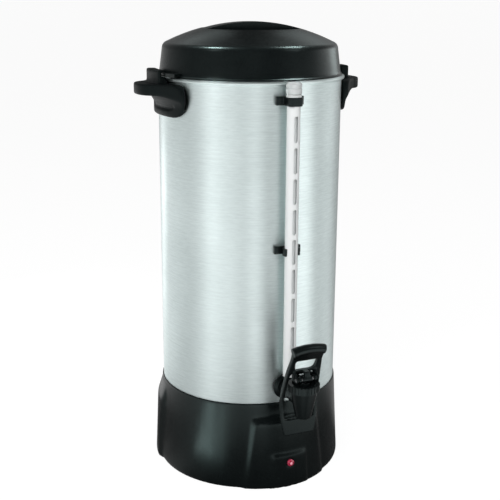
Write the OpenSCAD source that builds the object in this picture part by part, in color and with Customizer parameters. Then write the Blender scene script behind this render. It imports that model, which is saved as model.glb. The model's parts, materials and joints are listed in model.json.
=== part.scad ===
// Percolator coffee urn, 100-cup class, as an assembly of separate pieces.
// Millimetres. The tank's axis is +Z, the counter is z = 0 and the tap and gauge face -Y.

/* [Tank] */
// Outer radius of the tank wall
tank_r = 113; // [108:0.5:118]
// Height of the rolled rim's centre above the counter
rim_z = 501; // [480:1:520]
// Height of the tank floor's underside above the counter
floor_z = 100; // [96:1:102]
// Thickness of the tank wall
tank_wall = 1.2; // [0.8:0.1:1.6]
// Thickness of the tank floor
floor_t = 1.5; // [1:0.1:2]
// Radius of the rolled rim's section
bead_r = 2.4; // [2:0.1:3]
// Radius of the bend between floor and wall
floor_bend = 8; // [5:0.5:12]
// Outer radius of the heater well in the floor
well_r = 24; // [22:0.5:27]
// Depth of the heater well below the floor
well_depth = 10; // [8:0.5:12]

/* [Base] */
// Height of the base skirt
skirt_h = 112; // [110:1:116]
// How far the skirt stands out beyond the tank at the counter
skirt_flare = 7.5; // [5:0.5:11]
// Wall thickness of the skirt
skirt_wall = 2.6; // [2:0.1:3.2]
// Height of the bottom plate above the counter
plate_z = 8; // [6:0.5:10]
// Thickness of the bottom plate
plate_t = 1.2; // [1:0.1:2]
// How far the front console stands out at its foot
console_out = 5.6; // [4:0.1:8]
// Half of the console's width at the counter
console_half_w = 47.9; // [42:0.1:52]
// Height of the console's upper edge
console_h = 90; // [84:1:93]
// Turn of the console about the tank, towards the tap's right side (degrees)
console_turn = 1.9; // [-3:0.1:3]
// How far the rear panel stands out at its foot
rear_out = 4.5; // [3:0.5:5]
// Height of the rear panel's upper edge
rear_h = 84; // [78:1:90]
// Height of the signal lamp
lamp_z = 32.5; // [26:0.5:34]
// Radius of the signal lamp's lens
lens_r = 4.4; // [3.5:0.1:5]

/* [Lid] */
// Height of the crown of the lid
lid_top = 566.1; // [555:0.1:575]
// Radius of curvature of the dome
dome_r = 232; // [220:1:250]
// How far the lid wall's foot lies inside the tank's outer wall
lid_inset = 2; // [1:0.5:5]
// Wall thickness of the lid
lid_wall = 2.6; // [2:0.1:3.2]
// Radius of the grip recess in the dome
recess_r = 61; // [50:1:64]
// Depth of the grip recess below its rim
recess_depth = 22; // [16:1:26]
// Width of the grip bar
grip_w = 22; // [18:1:28]

/* [Handles] */
// How far a handle reaches out beyond the tank
handle_out = 34; // [28:1:40]
// Thickness of a handle's ear
ear_t = 13.5; // [11:0.5:16]
// Drop of a handle's wall plate below the ear's top
plate_drop = 39; // [36:1:46]
// Height of the lid-lock receiver above the ear
lock_h = 15.5; // [13:0.5:18]
// Radius of a handle screw
handle_screw_r = 2.5; // [2:0.1:3]

/* [Gauge] */
// Distance of the gauge's axis from the tank wall
gauge_out = 13; // [13:0.1:15]
// Outer radius of the slotted shield
shield_r = 7.8; // [7.4:0.1:8]
// Wall thickness of the shield
shield_wall = 1.3; // [1:0.1:1.6]
// Outer radius of the glass tube
glass_r = 4.5; // [4:0.1:4.8]
// Wall thickness of the glass tube
glass_wall = 1.2; // [0.8:0.1:1.4]
// Length of one slot in the shield
slot_len = 30; // [24:1:32]
// Distance from one slot to the next
slot_pitch = 35.8; // [34:0.1:38]
// Width of a slot
slot_w = 5; // [3:0.5:6]
// Number of slots
slot_count = 8; // [4:1:8]

/* [Tap] */
// Height of the tap's shank
tap_z = 133; // [131:1:136]
// Distance of the spout's axis from the tank wall
spout_out = 53; // [50:1:58]
// Radius of the tap body at its widest
body_r = 16.6; // [15:0.1:17]
// Radius of the shank's thread
shank_r = 8.8; // [8:0.1:9.5]
// Radius of the outlet bore
outlet_r = 5.5; // [4.5:0.1:6]
// Height of the outlet
outlet_z = 113.5; // [112:0.5:116]
// Radius of the valve chamber
chamber_r = 9; // [8.8:0.1:9.4]
// Radius of the valve stem
stem_r = 2.5; // [2:0.1:3]
// Arm from the lever's pin to the valve stem
pivot_arm = 8; // [7:0.5:9]
// Height of the lever's pin above the shank
pivot_rise = 32; // [31:0.5:34]
// Radius of the lever's pin
pin_r = 2; // [1.6:0.1:2.4]
// Half of the lever's greatest width
lever_half_w = 24.2; // [23:0.1:26]
// Drop from the lever's pin to the foot of its plate
lever_drop = 79; // [76:0.5:82]

/* [Percolator] */
// Room between the coffee basket and the tank wall
basket_room = 13.8; // [8:0.1:30]
// Height of the coffee basket
basket_h = 88; // [60:1:95]
// Height of the basket's floor above the counter
basket_z = 376; // [340:1:385]
// Outer radius of the pump tube
pump_r = 5; // [4:0.1:6]

/* [Clearances] */
// Radial gap of a running fit
run_gap = 0.05; // [0.03:0.01:0.1]
// Gap between seated pieces
seat_gap = 0.05; // [0.03:0.01:0.1]
// Gap between pieces that must not touch
free_gap = 0.3; // [0.2:0.05:0.5]

/* [Hidden] */
$fn = 96;

black = [0.09, 0.1, 0.1];
aluminium = [0.72, 0.75, 0.75];
steel = [0.6, 0.6, 0.62];
rubber = [0.15, 0.15, 0.15];
tank_in = tank_r - tank_wall;
// Facets of a curve that lies against the tank wall
wall_fn = 360;
front = -90;
skirt_r = tank_r + skirt_flare;
lid_r = tank_r - lid_inset;
handle_reach = tank_r + handle_out;
gauge_r = tank_r + gauge_out;
spout_r = tank_r + spout_out;
basket_r = tank_in - basket_room;
// Size of a cutting block that clears everything
far = 2 * (rim_z + tank_r);
// Height and depth of the bevel round the foot of the base
foot_bevel = 1.2;

// ---- shared geometry helpers ----

// Points along an arc of radius r about c, from angle a0 to a1
function arc(c, r, a0, a1, n = 12) =
    [for (i = [0:n]) c + r * [cos(a0 + (a1 - a0) * i / n), sin(a0 + (a1 - a0) * i / n)]];

// Points along a quadratic curve that leaves a towards b and ends at c
function bend(a, b, c, n = 8) =
    [for (i = [0:n]) let (t = i / n) (1 - t) * (1 - t) * a + 2 * t * (1 - t) * b + t * t * c];

// Height of the lid's dome at radius r
function dome_z(r) = lid_top - dome_r + sqrt(dome_r * dome_r - r * r);

// Radius of the skirt's flank at height z
function flank_r(z) = skirt_r + (tank_r + 1.5 - skirt_r) * z / skirt_h;

// Turns its children to face outwards at an angle, at radius r and height z; their +Z points out
module facing(angle, r, z) {
    rotate([0, 0, angle])
        translate([r, 0, z])
            rotate([0, 90, 0])
                children();
}

// A round bar along Y
module bar_y(r, y0, y1, z) {
    translate([0, y0, z])
        rotate([-90, 0, 0])
            cylinder(r = r, h = y1 - y0);
}

// A round bar along X, centred
module bar_x(r, length, y, z) {
    translate([0, y, z])
        rotate([0, 90, 0])
            cylinder(r = r, h = length, center = true);
}

module ring(r_out, r_in, z0, z1) {
    translate([0, 0, z0])
        difference() {
            cylinder(r = r_out, h = z1 - z0);
            translate([0, 0, -1])
                cylinder(r = r_in, h = z1 - z0 + 2);
        }
}

// A wedge of the given half angle about an angle, reaching far out
module wedge(angle, half, z0, z1) {
    reach = 2 * tank_r;
    translate([0, 0, z0])
        linear_extrude(z1 - z0)
            polygon([[0, 0], reach * [cos(angle - half), sin(angle - half)],
                     reach * 1.1 * [cos(angle), sin(angle)],
                     reach * [cos(angle + half), sin(angle + half)]]);
}

// ---- tank ----

handle_screw_z = rim_z - 20;
handle_screw_angle = 13;
handle_screw_in = 6.8;
bracket_screw_angle = 6.2;
bracket_screw_r = 2;
bracket_z = rim_z - 24;
bracket_h = 10;
clip_z = rim_z - 198.5;
clip_h = 9;

module tank() {
    well_z = floor_z - well_depth;
    color(aluminium)
        difference() {
            union() {
                rotate_extrude()
                    polygon(concat(
                        [[0, well_z], [well_r, well_z], [well_r, floor_z]],
                        arc([tank_r - floor_bend, floor_z + floor_bend], floor_bend, -90, 0),
                        [[tank_r, rim_z], [tank_in, rim_z]],
                        arc([tank_r - floor_bend, floor_z + floor_bend], floor_bend - tank_wall, 0, -90),
                        [[well_r - tank_wall, floor_z + floor_t],
                         [well_r - tank_wall, well_z + floor_t], [0, well_z + floor_t]]));
                rotate_extrude()
                    translate([tank_in + bead_r, rim_z])
                        circle(r = bead_r);
            }
            facing(front, tank_r - 10, tap_z)
                cylinder(r = shank_r + 0.2, h = 20);
            for (side = [0, 180], a = [-handle_screw_angle, handle_screw_angle])
                facing(side + a, tank_r - 10, handle_screw_z)
                    cylinder(r = handle_screw_r + 0.2, h = 20);
            for (z = [bracket_z + bracket_h / 2, clip_z + clip_h / 2],
                 a = [-bracket_screw_angle, bracket_screw_angle])
                facing(front + a, tank_r - 10, z)
                    cylinder(r = bracket_screw_r + 0.2, h = 20);
        }
}

// ---- base ----

console_axis_y = -0.195 * tank_r;
rear_side = 1;
rear_bevel = 7;
panel_half_w = 22.3;
panel_h = 45;
panel_out = 1.8;
boss_r = 6;
boss_at = tank_r - 10;
boss_h = 62;
foot_screw_r = 2;
inlet_z = 40;
inlet_w = 27.4;
inlet_h = 19.8;
inlet_flange = [31, 24.5, 2.4];
inlet_face_y = flank_r(0) + rear_out - 3.4;

// Cuts away everything outside a slanted side plane, on both sides. The plane passes through two
// points given as [half width, height] at depth y, and falls back towards the wall at slope
module side_limit(low, high, slope, inset, y) {
    lean = atan2(low[0] - high[0], high[1] - low[1]);
    for (s = [0, 1])
        mirror([s, 0, 0])
            translate([-low[0] + inset, y, low[1]])
                rotate([0, lean, 0])
                    rotate([0, 0, slope])
                        translate([-far, -far / 2, -far / 2])
                            cube([far, far, far]);
}

// The same for each stretch of an outline that runs from the foot up to the middle
module outline_limit(outline, slope, inset, y) {
    for (i = [0:len(outline) - 2])
        side_limit(outline[i], outline[i + 1], slope, inset, y);
}

// Half outlines of the console and of the lamp panel on it
console_outline = concat([[console_half_w, 0]],
    bend([console_half_w - 10, console_h - 7], [console_half_w - 11.5, console_h + 5],
         [console_half_w - 25, console_h + 10.5], 4));
panel_outline = concat([[panel_half_w, 0]],
    bend([panel_half_w - 2.6, panel_h - 6], [panel_half_w - 3, panel_h - 0.6],
         [panel_half_w - 9, panel_h + 0.6], 4));

// The console: a shallower curve set in front of the flank, with bevelled sides, rounded upper
// corners and a scooped top under the tap
module console_form(inset) {
    foot = skirt_r + console_out + console_axis_y - inset;
    top = foot - 4;
    scoop_z = console_h + 17 - inset;
    rotate([0, 0, console_turn])
        difference() {
            translate([0, console_axis_y, -1])
                rotate_extrude()
                    polygon(concat([[0, 0], [foot - foot_bevel, 0], [foot - foot_bevel, 1],
                         [foot, 1 + 1.5 * foot_bevel], [top, console_h - 3 - inset]],
                        bend([top, console_h - 3 - inset], [top - 1, console_h + 1 - inset],
                             [top - 4.5, console_h + 2.5 - inset], 4),
                        bend([top - 4.5, console_h + 2.5 - inset], [top - 8.5, console_h + 5 - inset],
                             [top - 10.5, scoop_z], 4),
                        [[0, scoop_z]]));
            outline_limit(console_outline, 38, inset, -tank_r - 5);
            translate([-far / 2, -tank_r / 3, -2])
                cube(far);
        }
}

module panel_form() {
    foot = skirt_r + console_out + console_axis_y + panel_out;
    lean = 4 / console_h;
    rotate([0, 0, console_turn])
        difference() {
            intersection() {
                translate([0, console_axis_y, 0])
                    rotate_extrude()
                        polygon([[0, 0], [foot - panel_out, 0], [foot, 2.5 * panel_out],
                                 [foot - lean * (panel_h - 1.6), panel_h - 1.6],
                                 [foot - panel_out - lean * panel_h - 0.4, panel_h], [0, panel_h]]);
                translate([-far / 2, -far, 0])
                    cube([far, far - tank_r / 2, far]);
            }
            outline_limit(panel_outline, 38, 0, console_axis_y - foot);
        }
}

// The rear panel: a shell set round the rear half, its front edges bevelled
module rear_form(inset) {
    foot = skirt_r + rear_out - inset;
    side = rear_side + asin(inset / skirt_r);
    low = (skirt_r - 2 * foot_bevel) * [cos(side), sin(side)];
    high = (skirt_r + rear_out) * [cos(side + rear_bevel), sin(side + rear_bevel)];
    out = low + 12 * (high - low);
    intersection() {
        rotate_extrude()
            polygon([[0, -1], [foot - foot_bevel, -1], [foot - foot_bevel, 0],
                     [foot, 1.5 * foot_bevel], [foot - 3.6, rear_h - inset],
                     [flank_r(rear_h + 22) - inset - 0.5, rear_h + 22 - inset],
                     [0, rear_h + 22 - inset]]);
        translate([0, 0, -2])
            linear_extrude(skirt_h)
                polygon([[0, low[1]], low, out, [0, 2 * out[1]], [-out[0], out[1]],
                         [-low[0], low[1]]]);
    }
}

module skirt_form(inset) {
    rotate_extrude()
        polygon([[0, -1], [skirt_r - foot_bevel - inset, -1], [skirt_r - foot_bevel - inset, 0],
                 [skirt_r - inset, 1.5 * foot_bevel], [flank_r(skirt_h) - inset, skirt_h],
                 [0, skirt_h]]);
    console_form(inset);
    rear_form(inset);
}

module base_skirt() {
    color(black)
        difference() {
            union() {
                difference() {
                    union() {
                        skirt_form(0);
                        panel_form();
                    }
                    difference() {
                        skirt_form(skirt_wall);
                        // the shelf that carries the tank
                        ring(tank_r + 10, floor_bend_shelf_r, floor_z - 4, floor_z);
                        translate([0, 0, floor_z])
                            ring(tank_r + 10, tank_r - 1, 0, skirt_h);
                    }
                    translate([0, 0, skirt_h - 2])
                        cylinder(r = tank_r - 1, h = 10);
                }
                // screw bosses, each with a rib to the wall
                for (a = [45:90:315])
                    rotate([0, 0, a])
                        translate([boss_at, 0, plate_z + plate_t])
                            cylinder(r = boss_r, h = boss_h);
                intersection() {
                    for (a = [45:90:315])
                        rotate([0, 0, a])
                            translate([boss_at, -1.5, plate_z + plate_t])
                                cube([40, 3, boss_h]);
                    skirt_form(skirt_wall / 2);
                }
            }
            translate([0, 0, floor_z])
                cylinder(r = tank_r + seat_gap, h = far);
            translate([0, 0, -5])
                cylinder(r = 2 * tank_r, h = 5);
            for (a = [45:90:315])
                rotate([0, 0, a])
                    translate([boss_at, 0, 0])
                        cylinder(r = foot_screw_r + run_gap, h = 40);
            // lamp hole, inlet hole and the flat that the inlet's flange sits on
            rotate([0, 0, console_turn])
                translate([0, 0, lamp_z])
                    rotate([90, 0, 0])
                        cylinder(r = lens_r - 0.6 + run_gap, h = far);
            translate([-inlet_w / 2 - seat_gap, inlet_face_y - 40,
                       inlet_z - inlet_h / 2 - seat_gap])
                cube([inlet_w + 2 * seat_gap, 60, inlet_h + 2 * seat_gap]);
            translate([-inlet_flange[0] / 2 - free_gap, inlet_face_y,
                       inlet_z - inlet_flange[1] / 2 - free_gap])
                cube([inlet_flange[0] + 2 * free_gap, 20, inlet_flange[1] + 2 * free_gap]);
        }
}
floor_bend_shelf_r = tank_r - floor_bend - 1;

module base_plate() {
    color(steel)
        difference() {
            translate([0, 0, plate_z])
                cylinder(r = boss_at + boss_r + 1, h = plate_t);
            cylinder(r = stud_r + 0.3, h = 30);
            for (a = [45:90:315])
                rotate([0, 0, a])
                    translate([boss_at, 0, 0])
                        cylinder(r = foot_screw_r + 0.3, h = 30);
        }
}

foot_r = 10;
screw_head_r = 4;
head_z = 2;

module rubber_feet() {
    color(rubber)
        for (a = [45:90:315])
            rotate([0, 0, a])
                translate([boss_at, 0, 0])
                    difference() {
                        cylinder(r1 = foot_r - 1, r2 = foot_r, h = plate_z);
                        translate([0, 0, -1])
                            cylinder(r = foot_screw_r + 0.3, h = 30);
                        translate([0, 0, -1])
                            cylinder(r = screw_head_r + 0.5, h = head_z + 3.4);
                    }
}

module foot_screws() {
    color(steel)
        for (a = [45:90:315])
            rotate([0, 0, a])
                translate([boss_at, 0, 0]) {
                    cylinder_from(screw_head_r, head_z, head_z + 2.4);
                    cylinder_from(foot_screw_r, head_z, 32);
                }
}

module cylinder_from(r, z0, z1) {
    translate([0, 0, z0])
        cylinder(r = r, h = z1 - z0);
}

// ---- heaters under the floor ----

stud_r = 4;
well_under = floor_z - well_depth;
brew_h = 10;
ring_in = 36;
ring_out = 54;
ring_t = 5;
clamp_t = 2;
nut_h = 6.5;
nut_af = 13;

module hex_nut(across_flats, bore, h) {
    difference() {
        cylinder(d = across_flats / cos(30), h = h, $fn = 6);
        translate([0, 0, -1])
            cylinder(r = bore, h = h + 2);
    }
}

module tie_stud() {
    color(steel)
        cylinder_from(stud_r, 1.2, well_under);
}

module tie_nut() {
    color(steel)
        translate([0, 0, plate_z - nut_h])
            hex_nut(nut_af, stud_r + seat_gap, nut_h);
}

module clamp_nut() {
    color(steel)
        translate([0, 0, well_under - brew_h - clamp_t - nut_h])
            hex_nut(nut_af, stud_r + seat_gap, nut_h);
}

// Cast disc with the sheathed element round its edge
module brew_heater() {
    color(steel)
        difference() {
            union() {
                cylinder_from(well_r - 1, well_under - brew_h, well_under);
                translate([0, 0, well_under - 5])
                    rotate_extrude()
                        translate([well_r - 1, 0])
                            circle(r = 3.2);
                for (x = [-9, 9])
                    translate([x, well_r - 3, well_under - 5])
                        rotate([-90, 0, 0])
                            cylinder(r = 1.6, h = 14);
            }
            cylinder(r = stud_r + seat_gap, h = 200);
        }
}

module warming_heater() {
    color(steel)
        ring(ring_out, ring_in, floor_z - ring_t, floor_z);
}

// Pressed dish that holds both heaters up against the floor
module heater_clamp() {
    low = well_under - brew_h;
    high = floor_z - ring_t;
    color(steel)
        difference() {
            rotate_extrude()
                polygon([[stud_r + seat_gap, low - clamp_t], [well_r + 3, low - clamp_t],
                         [ring_in + 3, high - clamp_t], [ring_out - 3, high - clamp_t],
                         [ring_out - 3, high], [ring_in + 1, high], [well_r + 2, low],
                         [stud_r + seat_gap, low]]);
            // windows for the element's ends
            for (a = [90, 210, 330])
                rotate([0, 0, a])
                    translate([well_r + 2.5, -13, low - 10])
                        cube([10, 26, 40]);
        }
}

thermostat_r = 12;
thermostat_at = tank_r - 41;

module thermostat() {
    color(black)
        translate([-thermostat_at, 0, 0]) {
            cylinder_from(thermostat_r, floor_z - 3, floor_z);
            cylinder_from(thermostat_r - 2, floor_z - 12, floor_z - 3);
            for (y = [-5, 5])
                translate([-1.5, y - 0.4, floor_z - 18])
                    cube([3, 0.8, 6]);
        }
}

module thermal_fuse() {
    color(steel)
        translate([thermostat_at, 0, floor_z - 4]) {
            rotate([90, 0, 0])
                cylinder(r = 2, h = 16, center = true);
            translate([-4, -3, 2 - 0.5])
                cube([8, 6, 2.5]);
        }
}

module terminal_block() {
    color([0.8, 0.78, 0.7])
        translate([-17, 48, plate_z + plate_t])
            difference() {
                union() {
                    cube([34, 20, 8]);
                    for (i = [0:3])
                        translate([i * 8 + 0.8, 5, 0])
                            cube([1.6, 10, 16]);
                    translate([33.2, 5, 0])
                        cube([0.8, 10, 16]);
                }
                for (i = [0:3])
                    translate([i * 8 + 5.2, 10, 4])
                        cylinder(r = 1.6, h = 20);
            }
}

// ---- signal lamp and mains inlet ----

lens_face = skirt_r + console_out + panel_out - 4 * lamp_z / console_h;

module lamp_lens() {
    color([0.85, 0.05, 0.15])
        rotate([0, 0, console_turn])
            translate([0, -lens_face - free_gap, lamp_z])
                rotate([90, 0, 0]) {
                    translate([0, 0, 0.6])
                        scale_dome(lens_r, 1.6);
                    cylinder(r = lens_r, h = 0.6);
                    translate([0, 0, -6])
                        cylinder(r = lens_r - 0.6, h = 6);
                }
}

// A shallow spherical cap of radius r and height h, its base on z = 0
module scale_dome(r, h) {
    ball = (r * r + h * h) / (2 * h);
    intersection() {
        translate([0, 0, h - ball])
            sphere(r = ball);
        cylinder(r = r, h = h);
    }
}

module lamp_body() {
    color([0.85, 0.85, 0.8])
        rotate([0, 0, console_turn])
            translate([0, -lens_face - free_gap + 6, lamp_z])
                rotate([-90, 0, 0])
                    difference() {
                        union() {
                            cylinder(r = lens_r - 0.7, h = 22);
                            translate([0, 0, 8])
                                cylinder(r = lens_r + 1, h = 9);
                        }
                        translate([0, 0, -1])
                            cylinder(r = 2.4, h = 16);
                    }
}

module mains_inlet() {
    color(black)
        translate([0, 0, inlet_z])
            difference() {
                union() {
                    translate([-inlet_flange[0] / 2, inlet_face_y, -inlet_flange[1] / 2])
                        cube([inlet_flange[0], inlet_flange[2], inlet_flange[1]]);
                    translate([-inlet_w / 2, inlet_face_y - 22, -inlet_h / 2])
                        cube([inlet_w, 22, inlet_h]);
                }
                // socket with two cut corners
                translate([0, inlet_face_y - 15, 0])
                    rotate([-90, 0, 0])
                        linear_extrude(30)
                            polygon([[-12, 8], [12, 8], [12, -4], [8, -8], [-8, -8], [-12, -4]]);
                for (p = pin_places)
                    translate([p[0] - 1 - seat_gap, inlet_face_y - 23, p[1] - 2 - seat_gap])
                        cube([2 + 2 * seat_gap, 20, 4 + 2 * seat_gap]);
            }
}
pin_places = [[-7, -1.5], [0, 1.5], [7, -1.5]];

module inlet_pins() {
    color([0.8, 0.7, 0.4])
        for (p = pin_places)
            translate([p[0] - 1, inlet_face_y - 30, inlet_z + p[1] - 2])
                cube([2, 27, 4]);
}

// ---- handles and the lid lock ----

ear_top = rim_z - 4.5;
ear_root_half = 45;
ear_tip_half = 20;
plate_half = 55;
plate_proud = 3.8;
plate_rim = 2;
plate_rim_w = 8;
lock_r = tank_r + 15;
lock_half_angle = 11;
tab_low = 1.6;
tab_h = 3.8;

// Plan of the ear: a rounded tip, flaring into the wall plate
module ear_plan() {
    tip = handle_reach;
    polygon(concat(
        [[tank_r - 10, plate_half]],
        bend([tank_r - 4, plate_half], [tank_r + 9, 37], [tip - 16, ear_tip_half + 8.5]),
        bend([tip - 16, ear_tip_half + 8.5], [tip, ear_tip_half + 2], [tip + 0, 0]),
        bend([tip + 0, 0], [tip, -ear_tip_half - 2], [tip - 16, -ear_tip_half - 8.5]),
        bend([tip - 16, -ear_tip_half - 8.5], [tank_r + 9, -37], [tank_r - 4, -plate_half]),
        [[tank_r - 10, -plate_half]]));
}

// Side outline of the wall plate as seen from outside, all its corners full, drawn in by inset
module plate_outline(inset) {
    low = ear_top - plate_drop + inset;
    half = plate_half - inset;
    round = 22;
    head = 13;
    polygon(concat(
        arc([head - half, ear_top - head], head, 90, 180, 6),
        arc([round - half, low + round], round, 180, 270),
        arc([half - round, low + round], round, 270, 360),
        arc([half - head, ear_top - head], head, 0, 90, 6)));
}

// Section through ear and plate: a wall plate that stands proud, with a fillet up to the shelf
module handle_ear_section() {
    under = ear_top - ear_t;
    root = tank_r + plate_proud + plate_rim;
    fillet = 15;
    rotate_extrude()
        polygon(concat(
            [[tank_r - 2, ear_top - plate_drop - 1], [root, ear_top - plate_drop - 1]],
            arc([root + fillet, under - fillet], fillet, 180, 90),
            [[2 * tank_r, under], [2 * tank_r, ear_top], [tank_r - 2, ear_top]]));
}

// The hollow in the face of the wall plate, which leaves a raised rim round it
module plate_hollow() {
    low = ear_top - plate_drop;
    high = ear_top - ear_t - 13;
    root = tank_r + plate_proud;
    intersection() {
        rotate_extrude()
            polygon([[root, low - 2], [root + 20, low - 2], [root + 20, high + 3],
                     [root + plate_rim + 1, high + 3], [root, high]]);
        translate([tank_r - 20, 0, 0])
            rotate([90, 0, 90])
                linear_extrude(tank_r)
                    plate_outline(plate_rim_w);
    }
}

// A handle on the +X side
module handle() {
    color(black)
        difference() {
            union() {
                intersection() {
                    handle_ear_section();
                    translate([0, 0, ear_top - plate_drop - 2])
                        linear_extrude(plate_drop + 2)
                            ear_plan();
                    translate([tank_r - 20, 0, 0])
                        rotate([90, 0, 90])
                            linear_extrude(tank_r)
                                plate_outline(0);
                }
                lock_receiver();
            }
            plate_hollow();
            translate([0, 0, -1])
                cylinder(r = tank_r + seat_gap, h = rim_z + 100, $fn = wall_fn);
            rotate_extrude()
                translate([tank_in + bead_r, rim_z])
                    circle(r = bead_r + free_gap);
            translate([0, 0, rim_z])
                cylinder(r = tank_in + 2 * bead_r + free_gap, h = 10);
            for (a = [-handle_screw_angle, handle_screw_angle])
                facing(a, tank_r - 10, handle_screw_z)
                    cylinder(r = handle_screw_r + seat_gap, h = 10 + handle_screw_in + free_gap);
        }
}

// The hook that a lid tab slides under: outer wall, roof and an end stop
module lock_receiver() {
    intersection() {
        difference() {
            ring(lock_r, tank_r + 3, ear_top - 1, ear_top + lock_h);
            // the slot for the tab, open towards the side from which the tab comes
            difference() {
                ring(lock_r - 4, tank_r, lid_foot + tab_low - 0.7, lid_foot + tab_low + tab_h + 0.6);
                wedge(-lock_half_angle, 3, 0, far);
            }
            // a groove across the roof
            translate([tank_r, -0.8, ear_top + lock_h - 1.2])
                cube([lock_r, 1.6, 10]);
        }
        wedge(0, lock_half_angle, 0, far);
    }
}

// The +X handle has its stop on one side; half a turn gives the other handle the same hand
module handle_right() {
    handle();
}

module handle_left() {
    rotate([0, 0, 180])
        handle();
}

module handle_screws() {
    head_out = sqrt(tank_in * tank_in - 4.5 * 4.5) - seat_gap;
    color(steel)
        for (side = [0, 180], a = [-handle_screw_angle, handle_screw_angle]) {
            facing(side + a, head_out - 2.4, handle_screw_z)
                cylinder(r = 4.5, h = 2.4);
            facing(side + a, head_out - 0.2, handle_screw_z)
                cylinder(r = handle_screw_r, h = tank_r + handle_screw_in - head_out + 0.2);
        }
}

// ---- level gauge ----

shield_bottom = tap_z + 18;
shield_top = bracket_z + bracket_h + 2;
cap_top = rim_z + 3;
glass_bottom = tap_z + 6;
glass_top = rim_z - 2;
slot_top = rim_z - 35;

module gauge_shield() {
    color([0.92, 0.94, 0.94])
        difference() {
            translate([0, -gauge_r, 0])
                ring(shield_r, shield_r - shield_wall, shield_bottom, shield_top);
            for (i = [0:slot_count - 1])
                translate([0, -gauge_r, slot_top - i * slot_pitch])
                    shield_slot();
        }
}

module shield_slot() {
    half = slot_w / 2;
    rotate([90, 0, 0])
        linear_extrude(20)
            polygon(concat(arc([0, -half], half, 0, 180),
                           arc([0, half - slot_len], half, 180, 360)));
}

module gauge_glass() {
    color([0.8, 0.9, 0.9, 0.4])
        translate([0, -gauge_r, 0])
            ring(glass_r, glass_r - glass_wall, glass_bottom, glass_top);
}

module gauge_cap() {
    foot = bracket_z + bracket_h;
    cap_r = shield_r + 1.3;
    bore = glass_r + seat_gap;
    groove = 0.8;
    color([0.9, 0.95, 0.95, 0.6])
        translate([0, -gauge_r, 0])
            rotate_extrude()
                polygon([[shield_r + seat_gap, foot], [cap_r, foot], [cap_r, foot + 2.4],
                         [cap_r - groove, foot + 3.2], [cap_r, foot + 4], [cap_r, foot + 9.4],
                         [cap_r - groove, foot + 10.2], [cap_r, foot + 11],
                         [cap_r, cap_top - 2.5], [cap_r - 2.2, cap_top], [3.3, cap_top],
                         [3.3, glass_top + 0.1], [bore, glass_top + 0.1],
                         [bore, shield_top + 0.2], [shield_r + seat_gap, shield_top + 0.2]]);
}

// A foot that follows the tank wall, for both gauge supports
module gauge_foot(z, h, out) {
    intersection() {
        ring(tank_r + out, tank_r + seat_gap, z, z + h, $fn = wall_fn);
        wedge(front, 8.4, 0, rim_z + 50);
    }
}

module bracket_screw_holes(z) {
    for (a = [-bracket_screw_angle, bracket_screw_angle])
        facing(front + a, tank_r - 10, z)
            cylinder(r = bracket_screw_r + seat_gap, h = 13.6);
}

module gauge_top_bracket() {
    half = shield_r + 0.7;
    nose = 4;
    color(black)
        difference() {
            union() {
                gauge_foot(bracket_z, bracket_h, 5);
                translate([-half, -gauge_r, bracket_z])
                    cube([2 * half, gauge_r - tank_r, bracket_h]);
                // the collar's nose, its corners rounded
                translate([0, -gauge_r, bracket_z])
                    linear_extrude(bracket_h)
                        polygon(concat([[half, 0.1]],
                            arc([half - nose, nose - half], nose, 0, -90, 6),
                            arc([nose - half, nose - half], nose, 270, 180, 6), [[-half, 0.1]]));
            }
            cylinder(r = tank_r + seat_gap, h = rim_z + 50, $fn = wall_fn);
            translate([0, -gauge_r, 0])
                cylinder(r = shield_r + seat_gap, h = rim_z + 50);
            bracket_screw_holes(bracket_z + bracket_h / 2);
        }
}

module gauge_mid_clip() {
    arm = 2.6;
    color(black)
        difference() {
            union() {
                gauge_foot(clip_z, clip_h, 4.4);
                translate([0, -gauge_r, 0])
                    ring(shield_r + seat_gap + arm, shield_r + seat_gap, clip_z, clip_z + clip_h);
            }
            cylinder(r = tank_r + seat_gap, h = rim_z + 50, $fn = wall_fn);
            translate([0, -gauge_r, 0])
                cylinder(r = shield_r + seat_gap, h = rim_z + 50);
            // the mouth of the clip
            translate([-shield_r - 5, -gauge_r - 20, 0])
                cube([2 * shield_r + 10, 16, rim_z]);
            bracket_screw_holes(clip_z + clip_h / 2);
        }
}

module gauge_screws() {
    head_out = sqrt(tank_in * tank_in - 3.5 * 3.5) - seat_gap;
    color(steel)
        for (z = [bracket_z + bracket_h / 2, clip_z + clip_h / 2],
             a = [-bracket_screw_angle, bracket_screw_angle]) {
            facing(front + a, head_out - 2, z)
                cylinder(r = 3.5, h = 2);
            facing(front + a, head_out - 0.2, z)
                cylinder(r = bracket_screw_r, h = tank_r + 3.4 - head_out);
        }
}

seal_r = 6;
seal_h = 4;

module gauge_seal() {
    color(rubber)
        translate([0, -gauge_r, 0])
            ring(seal_r, glass_r + seat_gap, shield_bottom - seal_h, shield_bottom);
}

// ---- tap ----

flange_y = tank_r + 2;
flange_t = 2;
flange_r = 16;
body_top = tap_z + 17;
seat_z = outlet_z + 13;
pivot_y = -spout_r - pivot_arm;
pivot_z = tap_z + pivot_rise;
tip_r = body_r - 7;
thread_r = body_r - 0.6;

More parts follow.
